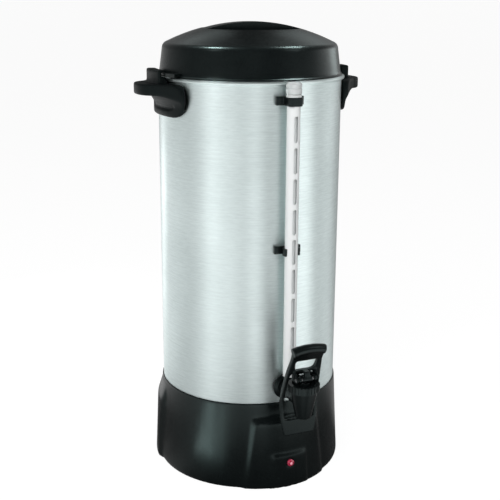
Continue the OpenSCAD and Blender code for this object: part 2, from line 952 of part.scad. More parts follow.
module tap_body() {
    shoulder = flange_y + flange_t + 1.6 + seat_gap;
    color(black)
        difference() {
            union() {
                translate([0, -spout_r, 0])
                    rotate_extrude()
                        polygon([[0, outlet_z], [tip_r - 0.7, outlet_z], [tip_r, outlet_z + 0.8],
                                 [body_r, body_top - 2.4], [body_r, body_top - 2],
                                 [thread_r, body_top - 2], [thread_r, body_top], [0, body_top]]);
                bar_y(10, -spout_r, -shoulder, tap_z);
                bar_y(shank_r, -shoulder - 1, -tank_in + 10.5, tap_z);
                intersection() {
                    translate([0, -gauge_r, tap_z])
                        cylinder(r = 7.2, h = shield_bottom - tap_z);
                    translate([-20, -gauge_r - 20, 0])
                        cube([40, gauge_r + 20 - shoulder, shield_bottom]);
                }
            }
            translate([0, -spout_r, 0]) {
                cylinder_from(outlet_r, outlet_z - 1, body_top + 1);
                cylinder_from(chamber_r, seat_z, body_top + 1);
            }
            bar_y(5, -spout_r, -tank_in + 20, tap_z);
            translate([0, -gauge_r, 0]) {
                cylinder_from(3, tap_z, shield_bottom);
                cylinder_from(glass_r + seat_gap, glass_bottom, shield_bottom + 1);
                cylinder_from(seal_r + seat_gap, shield_bottom - seal_h, shield_bottom + 1);
            }
        }
}

module tap_flange() {
    color(black)
        difference() {
            union() {
                bar_y(flange_r, -flange_y - flange_t, -flange_y, tap_z);
                translate([0, -flange_y - flange_t, tap_z])
                    rotate([90, 0, 0])
                        cylinder(r1 = flange_r - 1, r2 = flange_r - 4.5, h = 1.6);
            }
            bar_y(shank_r + seat_gap, -flange_y - 10, 0, tap_z);
        }
}

module tap_gasket() {
    color(rubber)
        difference() {
            bar_y(flange_r - 1, -flange_y, -tank_r + 3, tap_z);
            bar_y(shank_r + seat_gap, -flange_y - 10, 0, tap_z);
            cylinder(r = tank_r + seat_gap, h = rim_z, $fn = wall_fn);
        }
}

washer_in = 4;

module tap_inner_washer() {
    color(rubber)
        difference() {
            intersection() {
                bar_y(flange_r - 1, -tank_in - 1, -tank_in + washer_in, tap_z);
                cylinder(r = tank_in - seat_gap, h = rim_z, $fn = wall_fn);
            }
            bar_y(shank_r + seat_gap, -flange_y - 10, 0, tap_z);
        }
}

module tap_nut() {
    color(steel)
        translate([0, -tank_in + washer_in, tap_z])
            rotate([-90, 0, 0])
                hex_nut(26, shank_r + seat_gap, 5);
}

bonnet_flange_r = thread_r - 0.3;
bonnet_flange_t = 3;
guide_top = body_top + 8.5;
ear_in = 8;
ear_out = 11.5;
hood_r = 12;
hood_top = pivot_z + 4;

module bonnet() {
    color(black)
        difference() {
            union() {
                translate([0, -spout_r, 0]) {
                    cylinder_from(chamber_r - run_gap, body_top - 4, body_top + 1);
                    cylinder_from(bonnet_flange_r, body_top, body_top + bonnet_flange_t);
                    cylinder_from(7.4, body_top + 1, guide_top);
                    bonnet_hood();
                }
                for (s = [-1, 1])
                    translate([s > 0 ? ear_in : -ear_out, 0, 0])
                        rotate([90, 0, 90])
                            linear_extrude(ear_out - ear_in)
                                ear_side();
            }
            translate([0, -spout_r, 0]) {
                cylinder_from(stem_r + run_gap, body_top - 10, guide_top + 1);
                cylinder_from(spring_room_r, body_top - 10, guide_top - 2.5);
            }
            bar_x(pin_r + run_gap, 60, pivot_y, pivot_z);
        }
}

// A guard wall round the back of the stem, joined to the ears
module bonnet_hood() {
    intersection() {
        ring(hood_r, hood_r - 2.5, body_top + 1, hood_top);
        translate([-far / 2, -3, 0])
            cube(far);
    }
}

// Side view of one bonnet ear: upright on the flange, leaning forward to the pin
module ear_side() {
    foot = body_top + bonnet_flange_t - 0.5;
    clear = body_top + 7.8;
    polygon(concat(
        [[-spout_r - 4.5, foot], [-spout_r + 4.5, foot], [-spout_r + 4.5, clear]],
        arc([pivot_y, pivot_z], 4.2, 20, 190),
        [[-spout_r - 4.5, clear]]));
}

ring_r = body_r + 1.7;
ring_ribs = 26;

// Knurled union nut that clamps the bonnet down on the body
module bonnet_ring() {
    foot = body_top - 2;
    color(black)
        translate([0, -spout_r, 0])
            difference() {
                union() {
                    cylinder_from(ring_r, foot, foot + 9);
                    for (i = [0:ring_ribs - 1])
                        rotate([0, 0, i * 360 / ring_ribs])
                            translate([ring_r - 0.5, -1, foot + 0.6])
                                cube([1.3, 2, 7.8]);
                }
                cylinder_from(thread_r + seat_gap, foot - 1, body_top + bonnet_flange_t + seat_gap);
                cylinder_from(thread_r - 1.8, foot, foot + 10);
            }
}

// The lever is laid out in units of its drop, about 1 mm, from the pin: u towards the tank, v up
unit = lever_drop / 79;
leg_in = lever_half_w - 4.2;
grip_ru = 5.8;
grip_arch = 80;
grip_u = -3.7;
grip_v = 38.7;
cam_r = 2;
cam_drop = cam_r + 0.3;

// Half width of the lever from the foot of the plate up to the grip, as [x, v]
function lever_side_pts() = let (w = lever_half_w / unit) concat(
    bend([w - 9, -79], [w - 4.4, -79], [w - 3.4, -74.5], 5),
    bend([w - 3.4, -74.5], [w + 1.3, -50], [w - 0.1, -34], 7),
    bend([w - 0.1, -34], [w - 1.3, 0], [w - 4.7, 24], 7),
    [[w - 4.7, 37]]);

module lever_outline() {
    half = lever_side_pts();
    n = len(half);
    polygon(concat(half, [for (i = [n - 1:-1:0]) [-half[i][0], half[i][1]]]));
}

// The finger window between the bridge and the grip
module lever_window() {
    polygon(concat(
        [[-13, 23.4], [13, 23.4]],
        bend([14.2, 21], [13.8, 15], [13.4, 14], 3),
        bend([13.4, 14], [13, 9.6], [8, 9.5], 5),
        bend([-8, 9.5], [-13, 9.6], [-13.4, 14], 5),
        bend([-13.4, 14], [-13.8, 15], [-14.2, 21], 3)));
}

// The opening that straddles the tap body, between the bridge and the plate
module lever_opening() {
    inner = leg_in / unit;
    polygon(concat(
        bend([-inner, -40], [-inner, -20], [-inner + 2.2, 2], 5),
        bend([-inner + 2.2, 2], [-inner + 2.6, 6], [-inner + 7, 6], 4),
        bend([inner - 7, 6], [inner - 2.6, 6], [inner - 2.2, 2], 4),
        bend([inner - 2.2, 2], [inner, -20], [inner, -40], 5),
        bend([inner, -53], [inner - 0.4, -58], [inner - 5, -58], 4),
        bend([-inner + 5, -58], [-inner + 0.4, -58], [-inner, -53], 4)));
}

// Side view: legs that sweep back from the grip past the tap body, then a thin plate below it
module lever_profile() {
    polygon(concat(
        bend([-8.8, 37], [-4.5, 31], [-1, 25], 5),
        bend([-1, 25], [10, 1.5], [17.2, -28], 7),
        bend([17.2, -28], [20.4, -42], [18.4, -60], 7),
        [[17.8, -78], [18.6, -79], [20.2, -79], [21, -78], [21.6, -60]],
        bend([21.6, -60], [27.2, -42], [23.6, -28], 7),
        bend([23.6, -28], [17, 1.5], [6.2, 24], 7),
        bend([6.2, 24], [3.5, 30], [1.6, 37], 4)));
}

// Side view of the lugs that carry the pin, in front of the legs
module lug_side() {
    polygon(concat(arc([0, 0], 3.8, 110, 270), [[11, -3.8], [12, 8], [6, 9.4]]));
}

// Side view of the web that joins the hub to the bridge, in front of the stem
module web_side() {
    polygon([[-3.4, 0], [-1.5, 9.4], [9, 9.4], [8, 6.2], [3.4, 6], [3.4, 0]]);
}

// A side view drawn in lever units, as a slab from x = x0 to x1
module lever_slab(x0, x1) {
    translate([x0, pivot_y, pivot_z])
        rotate([90, 0, 90])
            linear_extrude(x1 - x0)
                scale(unit)
                    children();
}

// The grip: a round bar arched upwards
module lever_grip() {
    half = asin(20.4 / grip_arch);
    translate([0, pivot_y + grip_u * unit, pivot_z + (grip_v - grip_arch) * unit])
        rotate([90, 0, 0])
            rotate([0, 0, 90 - half])
                rotate_extrude(angle = 2 * half)
                    translate([grip_arch * unit, 0])
                        circle(r = grip_ru * unit);
}

lug_in = ear_out + 0.5;
lug_out = lug_in + 2.8;

module lever() {
    color(black)
        difference() {
            union() {
                intersection() {
                    translate([0, pivot_y + lever_drop / 2, pivot_z])
                        rotate([90, 0, 0])
                            linear_extrude(lever_drop)
                                scale(unit)
                                    difference() {
                                        lever_outline();
                                        lever_window();
                                        lever_opening();
                                    }
                    lever_slab(-2 * lever_half_w, 2 * lever_half_w)
                        lever_profile();
                }
                lever_grip();
                // lugs, hub, web and the two prongs that lift the stem's cross head
                for (s = [-1, 1])
                    lever_slab(s > 0 ? lug_in : -lug_out, s > 0 ? lug_out : -lug_in)
                        lug_side();
                bar_x(3.6, 13, pivot_y, pivot_z);
                lever_slab(-3.5, 3.5)
                    web_side();
                for (x = [-4.6, 4.6])
                    translate([x, 0, 0]) {
                        bar_x(cam_r, 2.8, -spout_r, pivot_z - cam_drop);
                        translate([-1.4, pivot_y, pivot_z - cam_drop - cam_r])
                            cube([2.8, pivot_arm, 2 * cam_r]);
                    }
            }
            bar_x(pin_r + run_gap, 4 * lever_half_w, pivot_y, pivot_z);
        }
}

module lever_pin() {
    color(steel)
        bar_x(pin_r, 2 * lug_out - 0.4, pivot_y, pivot_z);
}

// Stem with a cross head on the lever's prongs and a bulb in the seat cup
module valve_stem() {
    color(steel)
        translate([0, -spout_r, 0]) {
            cylinder_from(stem_r, seat_z + 5, pivot_z + 3);
            cylinder_from(stem_r + 1, seat_z + 3, seat_z + 5.5);
            translate([-6, -1.8, pivot_z])
                cube([12, 3.6, 3]);
        }
}

cup_top = seat_z + 11;

module seat_cup() {
    bore = stem_r + seat_gap;
    color([0.75, 0.75, 0.72])
        translate([0, -spout_r, 0])
            rotate_extrude()
                polygon([[0, seat_z], [7.6, seat_z], [8, seat_z + 4], [5, seat_z + 7],
                         [4.6, cup_top], [bore, cup_top], [bore, seat_z + 5.5 + seat_gap],
                         [bore + 1, seat_z + 5.5 + seat_gap], [bore + 1, seat_z + 3 - seat_gap],
                         [0, seat_z + 3 - seat_gap]]);
}

spring_room_r = 5.6;
spring_wire_r = 0.45;
spring_mid_r = 4.3;
spring_turns = 6;
spring_low = cup_top + spring_wire_r + 0.1;
spring_high = guide_top - 2.5 - spring_wire_r - 0.1;

// Compression spring: a round wire swept along a helix
module valve_spring() {
    sides = 8;
    steps = spring_turns * 20;
    points = [for (i = [0:steps]) let (a = i * 360 / 20,
                  z = spring_low + (spring_high - spring_low) * i / steps)
              for (k = [0:sides - 1]) let (w = k * 360 / sides,
                  r = spring_mid_r + spring_wire_r * cos(w))
              [r * cos(a), r * sin(a), z + spring_wire_r * sin(w)]];
    walls = [for (i = [0:steps - 1], k = [0:sides - 1]) let (k2 = (k + 1) % sides)
             [i * sides + k, i * sides + k2, (i + 1) * sides + k2, (i + 1) * sides + k]];
    color(steel)
        translate([0, -spout_r, 0])
            polyhedron(points, concat(walls, [[for (k = [sides - 1:-1:0]) k]],
                [[for (k = [0:sides - 1]) steps * sides + k]]), convexity = 10);
}

// ---- lid ----

lid_foot = rim_z + bead_r;
shoulder_z = lid_foot + 29.8;
tab_half_angle = 5;

// Outer section of the lid, from the foot of the wall to the dome
function lid_outer(inset) = concat(
    [[lid_r - inset, lid_foot + 8], [lid_r - 3.2 - inset, shoulder_z + 2.4]],
    bend([lid_r - 3.3 - inset, shoulder_z + 3], [lid_r - 4.4 - inset, dome_z(lid_r - 6) - inset],
         [lid_r - 9.5, dome_z(lid_r - 9.5) - inset], 8),
    [for (i = [0:8]) let (r = lid_r - 12 - (lid_r - 12 - recess_r) * i / 8) [r, dome_z(r) - inset]]);

module lid() {
    rim_top = dome_z(recess_r);
    well_floor = rim_top - recess_depth;
    inner = recess_r - 3;
    color(black)
        difference() {
            union() {
                rotate_extrude()
                    polygon(concat(
                        [[inner - 2, well_floor], [0, well_floor], [0, well_floor - lid_wall],
                         [inner, well_floor - lid_wall], [recess_r + lid_wall, rim_top - lid_wall - 1]],
                        [for (i = [8:-1:0]) let (r = lid_r - 12 - (lid_r - 12 - recess_r) * i / 8)
                            if (r > recess_r + lid_wall + 1) [r, dome_z(r) - lid_wall]],
                        [[lid_r - 7, shoulder_z], [lid_r - lid_wall - 1, lid_foot + 6],
                         [lid_plug_r - lid_wall, lid_foot + 4], [lid_plug_r - lid_wall, lid_foot - 9],
                         [lid_plug_r, lid_foot - 9], [lid_plug_r, lid_foot],
                         [lid_r + 2.6, lid_foot], [lid_r + 2.8, lid_foot + 0.8],
                         [lid_r + 2.4, lid_foot + 1.5], [lid_r + 1.1, lid_foot + 2.6],
                         [lid_r + 0.5, lid_foot + 4.6]],
                        lid_outer(0)));
                // the grip bar, its top flush with the dome
                intersection() {
                    translate([-recess_r, -grip_w / 2, well_floor - 1])
                        cube([2 * recess_r, grip_w, 60]);
                    rotate_extrude()
                        polygon(concat([[0, well_floor - 1], [recess_r, well_floor - 1]],
                            [for (i = [0:12]) let (r = recess_r * (1 - i / 12)) [r, dome_z(r)]]));
                }
                // two lock tabs, beside the receivers when the lid is unlocked
                for (side = [0, 180])
                    intersection() {
                        ring(lock_r - 4 - free_gap - 1, lid_r, lid_foot + tab_low,
                             lid_foot + tab_low + tab_h);
                        wedge(side + lock_half_angle + tab_half_angle + 1, tab_half_angle, 0, far);
                    }
            }
        }
}
lid_plug_r = tank_in - 1;

// ---- percolator ----

tube_top = basket_z + basket_h + 14;
foot_seat = floor_z - well_depth + floor_t;

module pump_tube() {
    color(aluminium)
        difference() {
            union() {
                cylinder_from(pump_r, foot_seat + 14, tube_top);
                // the collar that carries the basket
                rotate_extrude()
                    polygon([[pump_r - 1, basket_z - 9], [pump_r, basket_z - 9],
                             [pump_r + 4.5, basket_z - 3], [pump_r + 4.5, basket_z],
                             [pump_r - 1, basket_z]]);
            }
            cylinder(r = pump_r - 1, h = 2 * rim_z);
        }
}

// Bell-shaped foot that stands in the heater well
module pump_foot() {
    rim = well_r - tank_wall - free_gap;
    color(aluminium)
        difference() {
            rotate_extrude()
                polygon([[rim, foot_seat], [rim, foot_seat + 5], [pump_r + 3, foot_seat + 15],
                         [pump_r + 2, foot_seat + 24], [pump_r + seat_gap, foot_seat + 24],
                         [pump_r + seat_gap, foot_seat + 14], [pump_r - 1, foot_seat + 14],
                         [pump_r - 1, foot_seat + 12], [rim - 1.5, foot_seat + 4.4],
                         [rim - 1.5, foot_seat]]);
            for (a = [0:60:300])
                rotate([0, 0, a])
                    translate([0, -3, foot_seat - 1])
                        cube([rim + 5, 6, 3]);
        }
}

module pump_washer() {
    color(steel)
        ring(well_r - tank_wall - 3.5, pump_r + 1, foot_seat + free_gap, foot_seat + free_gap + 1);
}

basket_wall = 0.8;
hub_r = 7;

module basket() {
    color(aluminium)
        difference() {
            rotate_extrude()
                polygon([[pump_r + free_gap, basket_z], [basket_r - 6, basket_z],
                         [basket_r, basket_z + 6], [basket_r, basket_z + basket_h - 1],
                         [basket_r + 3, basket_z + basket_h - 1], [basket_r + 3, basket_z + basket_h],
                         [basket_r - basket_wall, basket_z + basket_h],
                         [basket_r - basket_wall, basket_z + 6],
                         [basket_r - 6 - basket_wall / 2, basket_z + basket_wall],
                         [hub_r, basket_z + basket_wall], [hub_r, basket_z + basket_h - 12],
                         [pump_r + free_gap, basket_z + basket_h - 12]]);
            for (k = [1:4], i = [0:8 * k - 1])
                rotate([0, 0, i * 360 / (8 * k)])
                    translate([k * (basket_r - 14) / 4, 0, basket_z - 1])
                        cylinder(r = 1.2, h = 4, $fn = 16);
        }
}

// Spreader plate with a raised knob ring that the stem comes through
module basket_cover() {
    z = basket_z + basket_h;
    color(aluminium)
        difference() {
            rotate_extrude()
                polygon([[pump_r + free_gap, z], [basket_r + 2, z], [basket_r + 2, z + 0.8],
                         [14, z + 0.8], [12, z + 5], [pump_r + free_gap, z + 5]]);
            for (k = [1:3], i = [0:10 * k - 1])
                rotate([0, 0, i * 36 / k])
                    translate([14 + k * (basket_r - 24) / 3, 0, z - 1])
                        cylinder(r = 1.4, h = 4, $fn = 16);
        }
}

// ---- assembly ----

tank();
base_skirt();
base_plate();
rubber_feet();
foot_screws();
tie_stud();
tie_nut();
clamp_nut();
brew_heater();
warming_heater();
heater_clamp();
thermostat();
thermal_fuse();
terminal_block();
lamp_lens();
lamp_body();
mains_inlet();
inlet_pins();
handle_left();
handle_right();
handle_screws();
gauge_shield();
gauge_glass();
gauge_cap();
gauge_top_bracket();
gauge_mid_clip();
gauge_screws();
gauge_seal();
tap_body();
tap_flange();
tap_gasket();
tap_inner_washer();
tap_nut();
bonnet();
bonnet_ring();
lever();
lever_pin();
valve_stem();
seat_cup();
valve_spring();
lid();
pump_tube();
pump_foot();
pump_washer();
basket();
basket_cover();
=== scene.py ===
"""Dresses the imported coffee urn: finishes, softened mouldings, floor, light and camera."""
import json
import math

import bpy
from mathutils import Matrix, Vector


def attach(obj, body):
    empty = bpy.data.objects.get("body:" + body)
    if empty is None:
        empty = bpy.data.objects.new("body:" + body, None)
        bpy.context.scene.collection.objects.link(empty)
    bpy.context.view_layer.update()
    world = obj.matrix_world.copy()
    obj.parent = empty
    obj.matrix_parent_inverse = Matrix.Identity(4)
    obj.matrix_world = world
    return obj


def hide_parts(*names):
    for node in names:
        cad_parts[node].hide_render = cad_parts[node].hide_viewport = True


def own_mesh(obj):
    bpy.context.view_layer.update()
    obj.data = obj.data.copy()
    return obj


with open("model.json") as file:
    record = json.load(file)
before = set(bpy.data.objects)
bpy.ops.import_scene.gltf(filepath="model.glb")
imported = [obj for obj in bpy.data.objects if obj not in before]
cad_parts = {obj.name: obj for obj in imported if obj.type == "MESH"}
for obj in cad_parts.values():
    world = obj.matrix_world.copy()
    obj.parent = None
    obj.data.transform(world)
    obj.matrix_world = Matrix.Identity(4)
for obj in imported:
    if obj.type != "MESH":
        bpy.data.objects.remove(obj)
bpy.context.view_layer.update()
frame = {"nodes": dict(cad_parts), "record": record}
NODES = frame["nodes"]
MM = 0.001
TANK_RADIUS_MM = 113.0

# ---- camera: the photograph's place, lens and tilt ----

CAMERA_AZIMUTH = math.radians(-23.2)   # the tap points to the camera's right
CAMERA_DISTANCE = 1.1817               # from the urn's axis, level
CAMERA_HEIGHT = 0.6022
CAMERA_PITCH = 0.2687                  # looking down
CAMERA_ROLL = 0.005
LENS_MM = 67.89
SENSOR_MM = 36.0
AXIS_SHIFT = 0.00218


def make_camera():
    data = bpy.data.cameras.new("camera")
    data.sensor_width = SENSOR_MM
    data.lens = LENS_MM
    data.shift_x = AXIS_SHIFT
    data.clip_end = 200.0
    camera = bpy.data.objects.new("camera", data)
    bpy.context.scene.collection.objects.link(camera)
    place = Vector((math.sin(CAMERA_AZIMUTH) * CAMERA_DISTANCE,
                    -math.cos(CAMERA_AZIMUTH) * CAMERA_DISTANCE, CAMERA_HEIGHT))
    turn = (Matrix.Rotation(CAMERA_AZIMUTH, 4, "Z")
            @ Matrix.Rotation(math.pi / 2 - CAMERA_PITCH, 4, "X")
            @ Matrix.Rotation(CAMERA_ROLL, 4, "Z"))
    camera.matrix_world = Matrix.Translation(place) @ turn
    bpy.context.scene.camera = camera


# ---- material helpers ----

NOISE_RANGE = (0.3, 0.7)               # nearly all of a noise texture's values lie in here
HAIRLINE_SHARE = 0.55                  # of the brushing; the rest is coarser streaks


class Nodes:
    """Helpers that add nodes to a shader tree."""

    def __init__(self, tree):
        self.tree = tree

    def add(self, kind, inputs=None, **settings):
        node = self.tree.nodes.new(kind)
        for key, value in settings.items():
            setattr(node, key, value)
        for key, value in (inputs or {}).items():
            if isinstance(value, bpy.types.NodeSocket):
                self.tree.links.new(value, node.inputs[key])
            else:
                node.inputs[key].default_value = value
        return node

    def math(self, operation, a, b=0.0):
        return self.add("ShaderNodeMath", {0: a, 1: b}, operation=operation).outputs[0]

    def spread(self, value, low, high, start=0.0, end=1.0):
        """value from start..end mapped to low..high."""
        node = self.add("ShaderNodeMapRange", {"Value": value, "From Min": start, "From Max": end,
                                               "To Min": low, "To Max": high})
        return node.outputs["Result"]


class Finish(Nodes):
    """A material under construction: a Principled shader and helpers that feed it."""

    def __init__(self, name, **sockets):
        self.material = bpy.data.materials.new(name)
        self.material.use_nodes = True
        super().__init__(self.material.node_tree)
        self.shader = self.tree.nodes["Principled BSDF"]
        for socket, value in sockets.items():
            self.shader.inputs[socket.replace("_", " ")].default_value = value

    def link(self, value, socket):
        self.tree.links.new(value, self.shader.inputs[socket])

    def place(self):
        return self.add("ShaderNodeTexCoord").outputs["Object"]

    def noise(self, vector, scale, detail=2.0, roughness=0.5):
        return self.add("ShaderNodeTexNoise", {"Vector": vector, "Scale": scale, "Detail": detail,
                                               "Roughness": roughness}).outputs["Fac"]

    def blend(self, factor, dark, light):
        node = self.add("ShaderNodeMix", data_type="RGBA")
        self.tree.links.new(factor, node.inputs["Factor"])
        node.inputs["A"].default_value = (*dark, 1.0)
        node.inputs["B"].default_value = (*light, 1.0)
        return node.outputs["Result"]

    def bump(self, height, strength, distance):
        node = self.add("ShaderNodeBump", {"Height": height, "Strength": strength,
                                           "Distance": distance})
        self.link(node.outputs["Normal"], "Normal")


def brushed(name, colour, dark, roughness, along_mm=60.0, across_mm=0.7):
    """Metal brushed round the Z axis: hairlines and coarser streaks along the circumference."""
    f = Finish(name, Metallic=1.0, Anisotropic=0.78, Anisotropic_Rotation=0.25)
    x, y, z = f.add("ShaderNodeSeparateXYZ", {"Vector": f.place()}).outputs
    angle = f.math("ARCTAN2", y, x)
    along = f.math("MULTIPLY", angle, TANK_RADIUS_MM / along_mm)
    across = f.math("MULTIPLY", z, 1.0 / (across_mm * MM))
    fine_place = f.add("ShaderNodeCombineXYZ", {"X": along, "Y": across}).outputs[0]
    coarse_place = f.add("ShaderNodeCombineXYZ", {"X": f.math("MULTIPLY", along, 5.0),
                                                  "Y": f.math("MULTIPLY", across, 0.3)}).outputs[0]
    hairlines = f.noise(fine_place, 1.0, 4.0, 0.65)
    coarse = f.noise(coarse_place, 1.0, 4.0, 0.7)
    streaks = f.math("ADD", f.math("MULTIPLY", hairlines, HAIRLINE_SHARE),
                     f.math("MULTIPLY", coarse, 1.0 - HAIRLINE_SHARE))
    clouds = f.noise(f.place(), 14.0, 2.0)
    f.link(f.blend(f.spread(streaks, 0.0, 1.0, *NOISE_RANGE), dark, colour), "Base Color")
    grain = f.spread(streaks, roughness - 0.05, roughness + 0.05, *NOISE_RANGE)
    f.link(f.math("ADD", grain, f.spread(clouds, -0.03, 0.03, *NOISE_RANGE)), "Roughness")
    f.bump(hairlines, 0.25, 0.00012)
    tangent = f.add("ShaderNodeTangent", direction_type="RADIAL", axis="Z")
    f.link(tangent.outputs[0], "Tangent")
    return f.material


def moulded(name, colour, pale, roughness, grain=0.12, grain_mm=0.5, shine=0.5,
            tint=(1.0, 1.0, 1.0)):
    """Moulded plastic: an even colour with faint clouds, a fine grain and uneven gloss."""
    f = Finish(name, Specular_IOR_Level=shine, Specular_Tint=(*tint, 1.0))
    clouds = f.noise(f.place(), 22.0, 3.0)
    fine = f.noise(f.place(), 1.0 / (grain_mm * MM), 3.0, 0.6)
    f.link(f.blend(f.spread(clouds, 0.0, 1.0, *NOISE_RANGE), colour, pale), "Base Color")
    gloss = f.spread(clouds, roughness - 0.04, roughness + 0.04, *NOISE_RANGE)
    f.link(f.math("ADD", gloss, f.spread(fine, -0.05, 0.05, *NOISE_RANGE)), "Roughness")
    f.bump(fine, grain, 0.00015)
    return f.material


def plain_metal(name, colour, dark, roughness, scale=60.0):
    """Metal with soft marks in its colour and gloss."""
    f = Finish(name, Metallic=1.0)
    marks = f.noise(f.place(), scale, 4.0, 0.6)
    f.link(f.blend(f.spread(marks, 0.0, 1.0, *NOISE_RANGE), dark, colour), "Base Color")
    f.link(f.spread(marks, roughness - 0.06, roughness + 0.06, *NOISE_RANGE), "Roughness")
    f.bump(marks, 0.1, 0.0001)
    return f.material


def clear(name, colour, roughness, ior, transmission):
    """Clear glass or plastic, a little milky where transmission is below 1."""
    f = Finish(name, Roughness=roughness, IOR=ior, Transmission_Weight=transmission)
    waves = f.noise(f.place(), 90.0, 1.0)
    f.link(f.blend(waves, colour, tuple(0.5 + 0.5 * c for c in colour)), "Base Color")
    f.bump(waves, 0.05, 0.0002)
    return f.material


LENS_RADIUS = 0.0055
# Colours from the lens's centre to its rim; the pale pink at the centre is a painted highlight, the
# darker rings are the lens's red.
LENS_RINGS_AND_PAINTED_HIGHLIGHT = ((0.22, (1.0, 0.4, 0.5)), (0.42, (0.35, 0.0, 0.03)), (0.6, (0.25, 0.0, 0.02)),
              (0.8, (0.5, 0.05, 0.1)))      # place between centre and rim, colour


def jewel(name, centre):
    """Red signal lens: clear plastic over small facets, with a painted highlight in its pale centre;
    it glows faintly in its own colours.
    """
    f = Finish(name, Roughness=0.12, Coat_Weight=0.6, Coat_Roughness=0.05,
               Emission_Strength=0.15)
    cells = f.add("ShaderNodeTexVoronoi", {"Vector": f.place(), "Scale": 900.0}).outputs["Distance"]
    away = f.add("ShaderNodeVectorMath", {0: f.place(), 1: centre}, operation="DISTANCE")
    # Rings of colour by distance from the centre; the innermost, pale one is a painted highlight.
    rings_and_highlight = f.add("ShaderNodeValToRGB",
                  {"Fac": f.spread(away.outputs["Value"], 0.0, 1.0, 0.0, LENS_RADIUS)})
    stops = rings_and_highlight.color_ramp.elements
    for i, (place, colour) in enumerate(LENS_RINGS_AND_PAINTED_HIGHLIGHT):
        stop = stops[i] if i < 2 else stops.new(place)
        stop.position = place
        stop.color = (*colour, 1.0)
    f.link(rings_and_highlight.outputs["Color"], "Base Color")
    f.link(rings_and_highlight.outputs["Color"], "Emission Color")
    f.bump(cells, 0.3, 0.0003)
    return f.material


MATERIALS = {}


def make_materials():
    lens = [Vector(corner) for corner in NODES["lamp_lens"].bound_box]
    lens_centre = sum(lens, Vector()) / len(lens)
    lens_centre.y = min(corner.y for corner in lens)
    MATERIALS.update({
        "tank_aluminium": brushed("tank_aluminium", (0.87, 0.96, 0.955), (0.61, 0.70, 0.695), 0.5),
        "aluminium": plain_metal("aluminium", (0.8, 0.82, 0.82), (0.68, 0.7, 0.7), 0.3),
        "black_plastic": moulded("black_plastic", (0.0028, 0.004, 0.0042), (0.004, 0.0054, 0.0056),
                                 0.28, shine=0.22, tint=(0.8, 1.0, 0.98)),
        "satin_black": moulded("satin_black", (0.003, 0.0042, 0.0044), (0.0045, 0.006, 0.0062),
                               0.5, shine=0.12, tint=(0.8, 1.0, 0.98)),
        "dark_plastic": moulded("dark_plastic", (0.012, 0.012, 0.012), (0.018, 0.018, 0.018), 0.45),
        "pale_plastic": moulded("pale_plastic", (0.72, 0.7, 0.62), (0.78, 0.76, 0.7), 0.4),
        "steel": plain_metal("steel", (0.62, 0.63, 0.64), (0.5, 0.51, 0.52), 0.32),
        "cast_metal": plain_metal("cast_metal", (0.3, 0.3, 0.31), (0.22, 0.22, 0.22), 0.6, 300.0),
        "brass": plain_metal("brass", (0.78, 0.6, 0.3), (0.66, 0.5, 0.24), 0.3),
        "rubber": moulded("rubber", (0.012, 0.012, 0.012), (0.02, 0.02, 0.02), 0.7, 0.3, 0.3),
        "silicone": moulded("silicone", (0.7, 0.69, 0.64), (0.78, 0.77, 0.73), 0.5, 0.1),
        "red_lens": jewel("red_lens", lens_centre),
        "bright_shield": moulded("bright_shield", (0.90, 0.93, 0.93), (0.94, 0.96, 0.96), 0.2,
                                 0.03),
        "clear_glass": clear("clear_glass", (0.92, 0.96, 0.96), 0.08, 1.47, 0.15),
        "clear_cap": clear("clear_cap", (0.95, 0.98, 0.98), 0.06, 1.49, 0.6),
    })


def finish_cad_nodes():
    """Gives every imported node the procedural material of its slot; the handles are less glossy."""
    for sub in frame["record"]["subparts"]:
        is_handle = sub["node"] in ("handle_left", "handle_right")
        finish = "satin_black" if is_handle else sub["material_slot"]
        node = NODES[sub["node"]]
        node.data.materials.clear()
        node.data.materials.append(MATERIALS[finish])


# ---- softened mouldings ----

# Moulded pieces, with the mesh spacing in mm and the smoothing steps that round their edges
MOULDED = {
    "base_skirt": (0.9, 22),
    "handle_left": (0.7, 16),
    "handle_right": (0.7, 16),
    "lever": (0.45, 9),
    "tap_body": (0.5, 5),
    "tap_flange": (0.35, 6),
    "bonnet": (0.4, 4),
    "gauge_top_bracket": (0.35, 4),
    "gauge_mid_clip": (0.35, 4),
}
LIPPED = "base_skirt"      # its upper and lower edges keep their shape
LIP = 0.006                # over this height


def rounding(name, steps, low, high):
    """Geometry nodes that blur the places of the points, less and less near two heights."""
    tree = bpy.data.node_groups.new(name, "GeometryNodeTree")
    tree.interface.new_socket("Geometry", in_out="INPUT", socket_type="NodeSocketGeometry")
    tree.interface.new_socket("Geometry", in_out="OUTPUT", socket_type="NodeSocketGeometry")
    nodes = Nodes(tree)
    position = nodes.add("GeometryNodeInputPosition").outputs[0]
    _, _, z = nodes.add("ShaderNodeSeparateXYZ", {"Vector": position}).outputs
    above = nodes.spread(z, 0.0, 1.0, low, low + LIP)
    below = nodes.spread(z, 1.0, 0.0, high - LIP, high)
    blurred = nodes.add("GeometryNodeBlurAttribute", {"Iterations": steps},
                        data_type="FLOAT_VECTOR")
    value = [socket for socket in blurred.inputs if socket.name == "Value" and socket.enabled][0]
    tree.links.new(position, value)
    tree.links.new(nodes.math("MULTIPLY", above, below), blurred.inputs["Weight"])
    moved = [socket for socket in blurred.outputs if socket.enabled][0]
    shape = nodes.add("GeometryNodeSetPosition",
                      {"Geometry": nodes.add("NodeGroupInput").outputs[0], "Position": moved})
    nodes.add("NodeGroupOutput", {0: shape.outputs[0]})
    return tree


def soften_mouldings():
    """Rounds the edges of the moulded pieces, as they leave a mould."""
    for name, (spacing_mm, steps) in MOULDED.items():
        node = NODES[name]
        even = node.modifiers.new("even mesh", "REMESH")
        even.mode = "VOXEL"
        even.voxel_size = spacing_mm * MM
        even.use_smooth_shade = True
        heights = [corner[2] for corner in node.bound_box]
        spare = 0.0 if name == LIPPED else 1.0
        rounded = node.modifiers.new("rounded edges", "NODES")
        rounded.node_group = rounding(name, steps, min(heights) - spare, max(heights) + spare)


# ---- valve spring ----

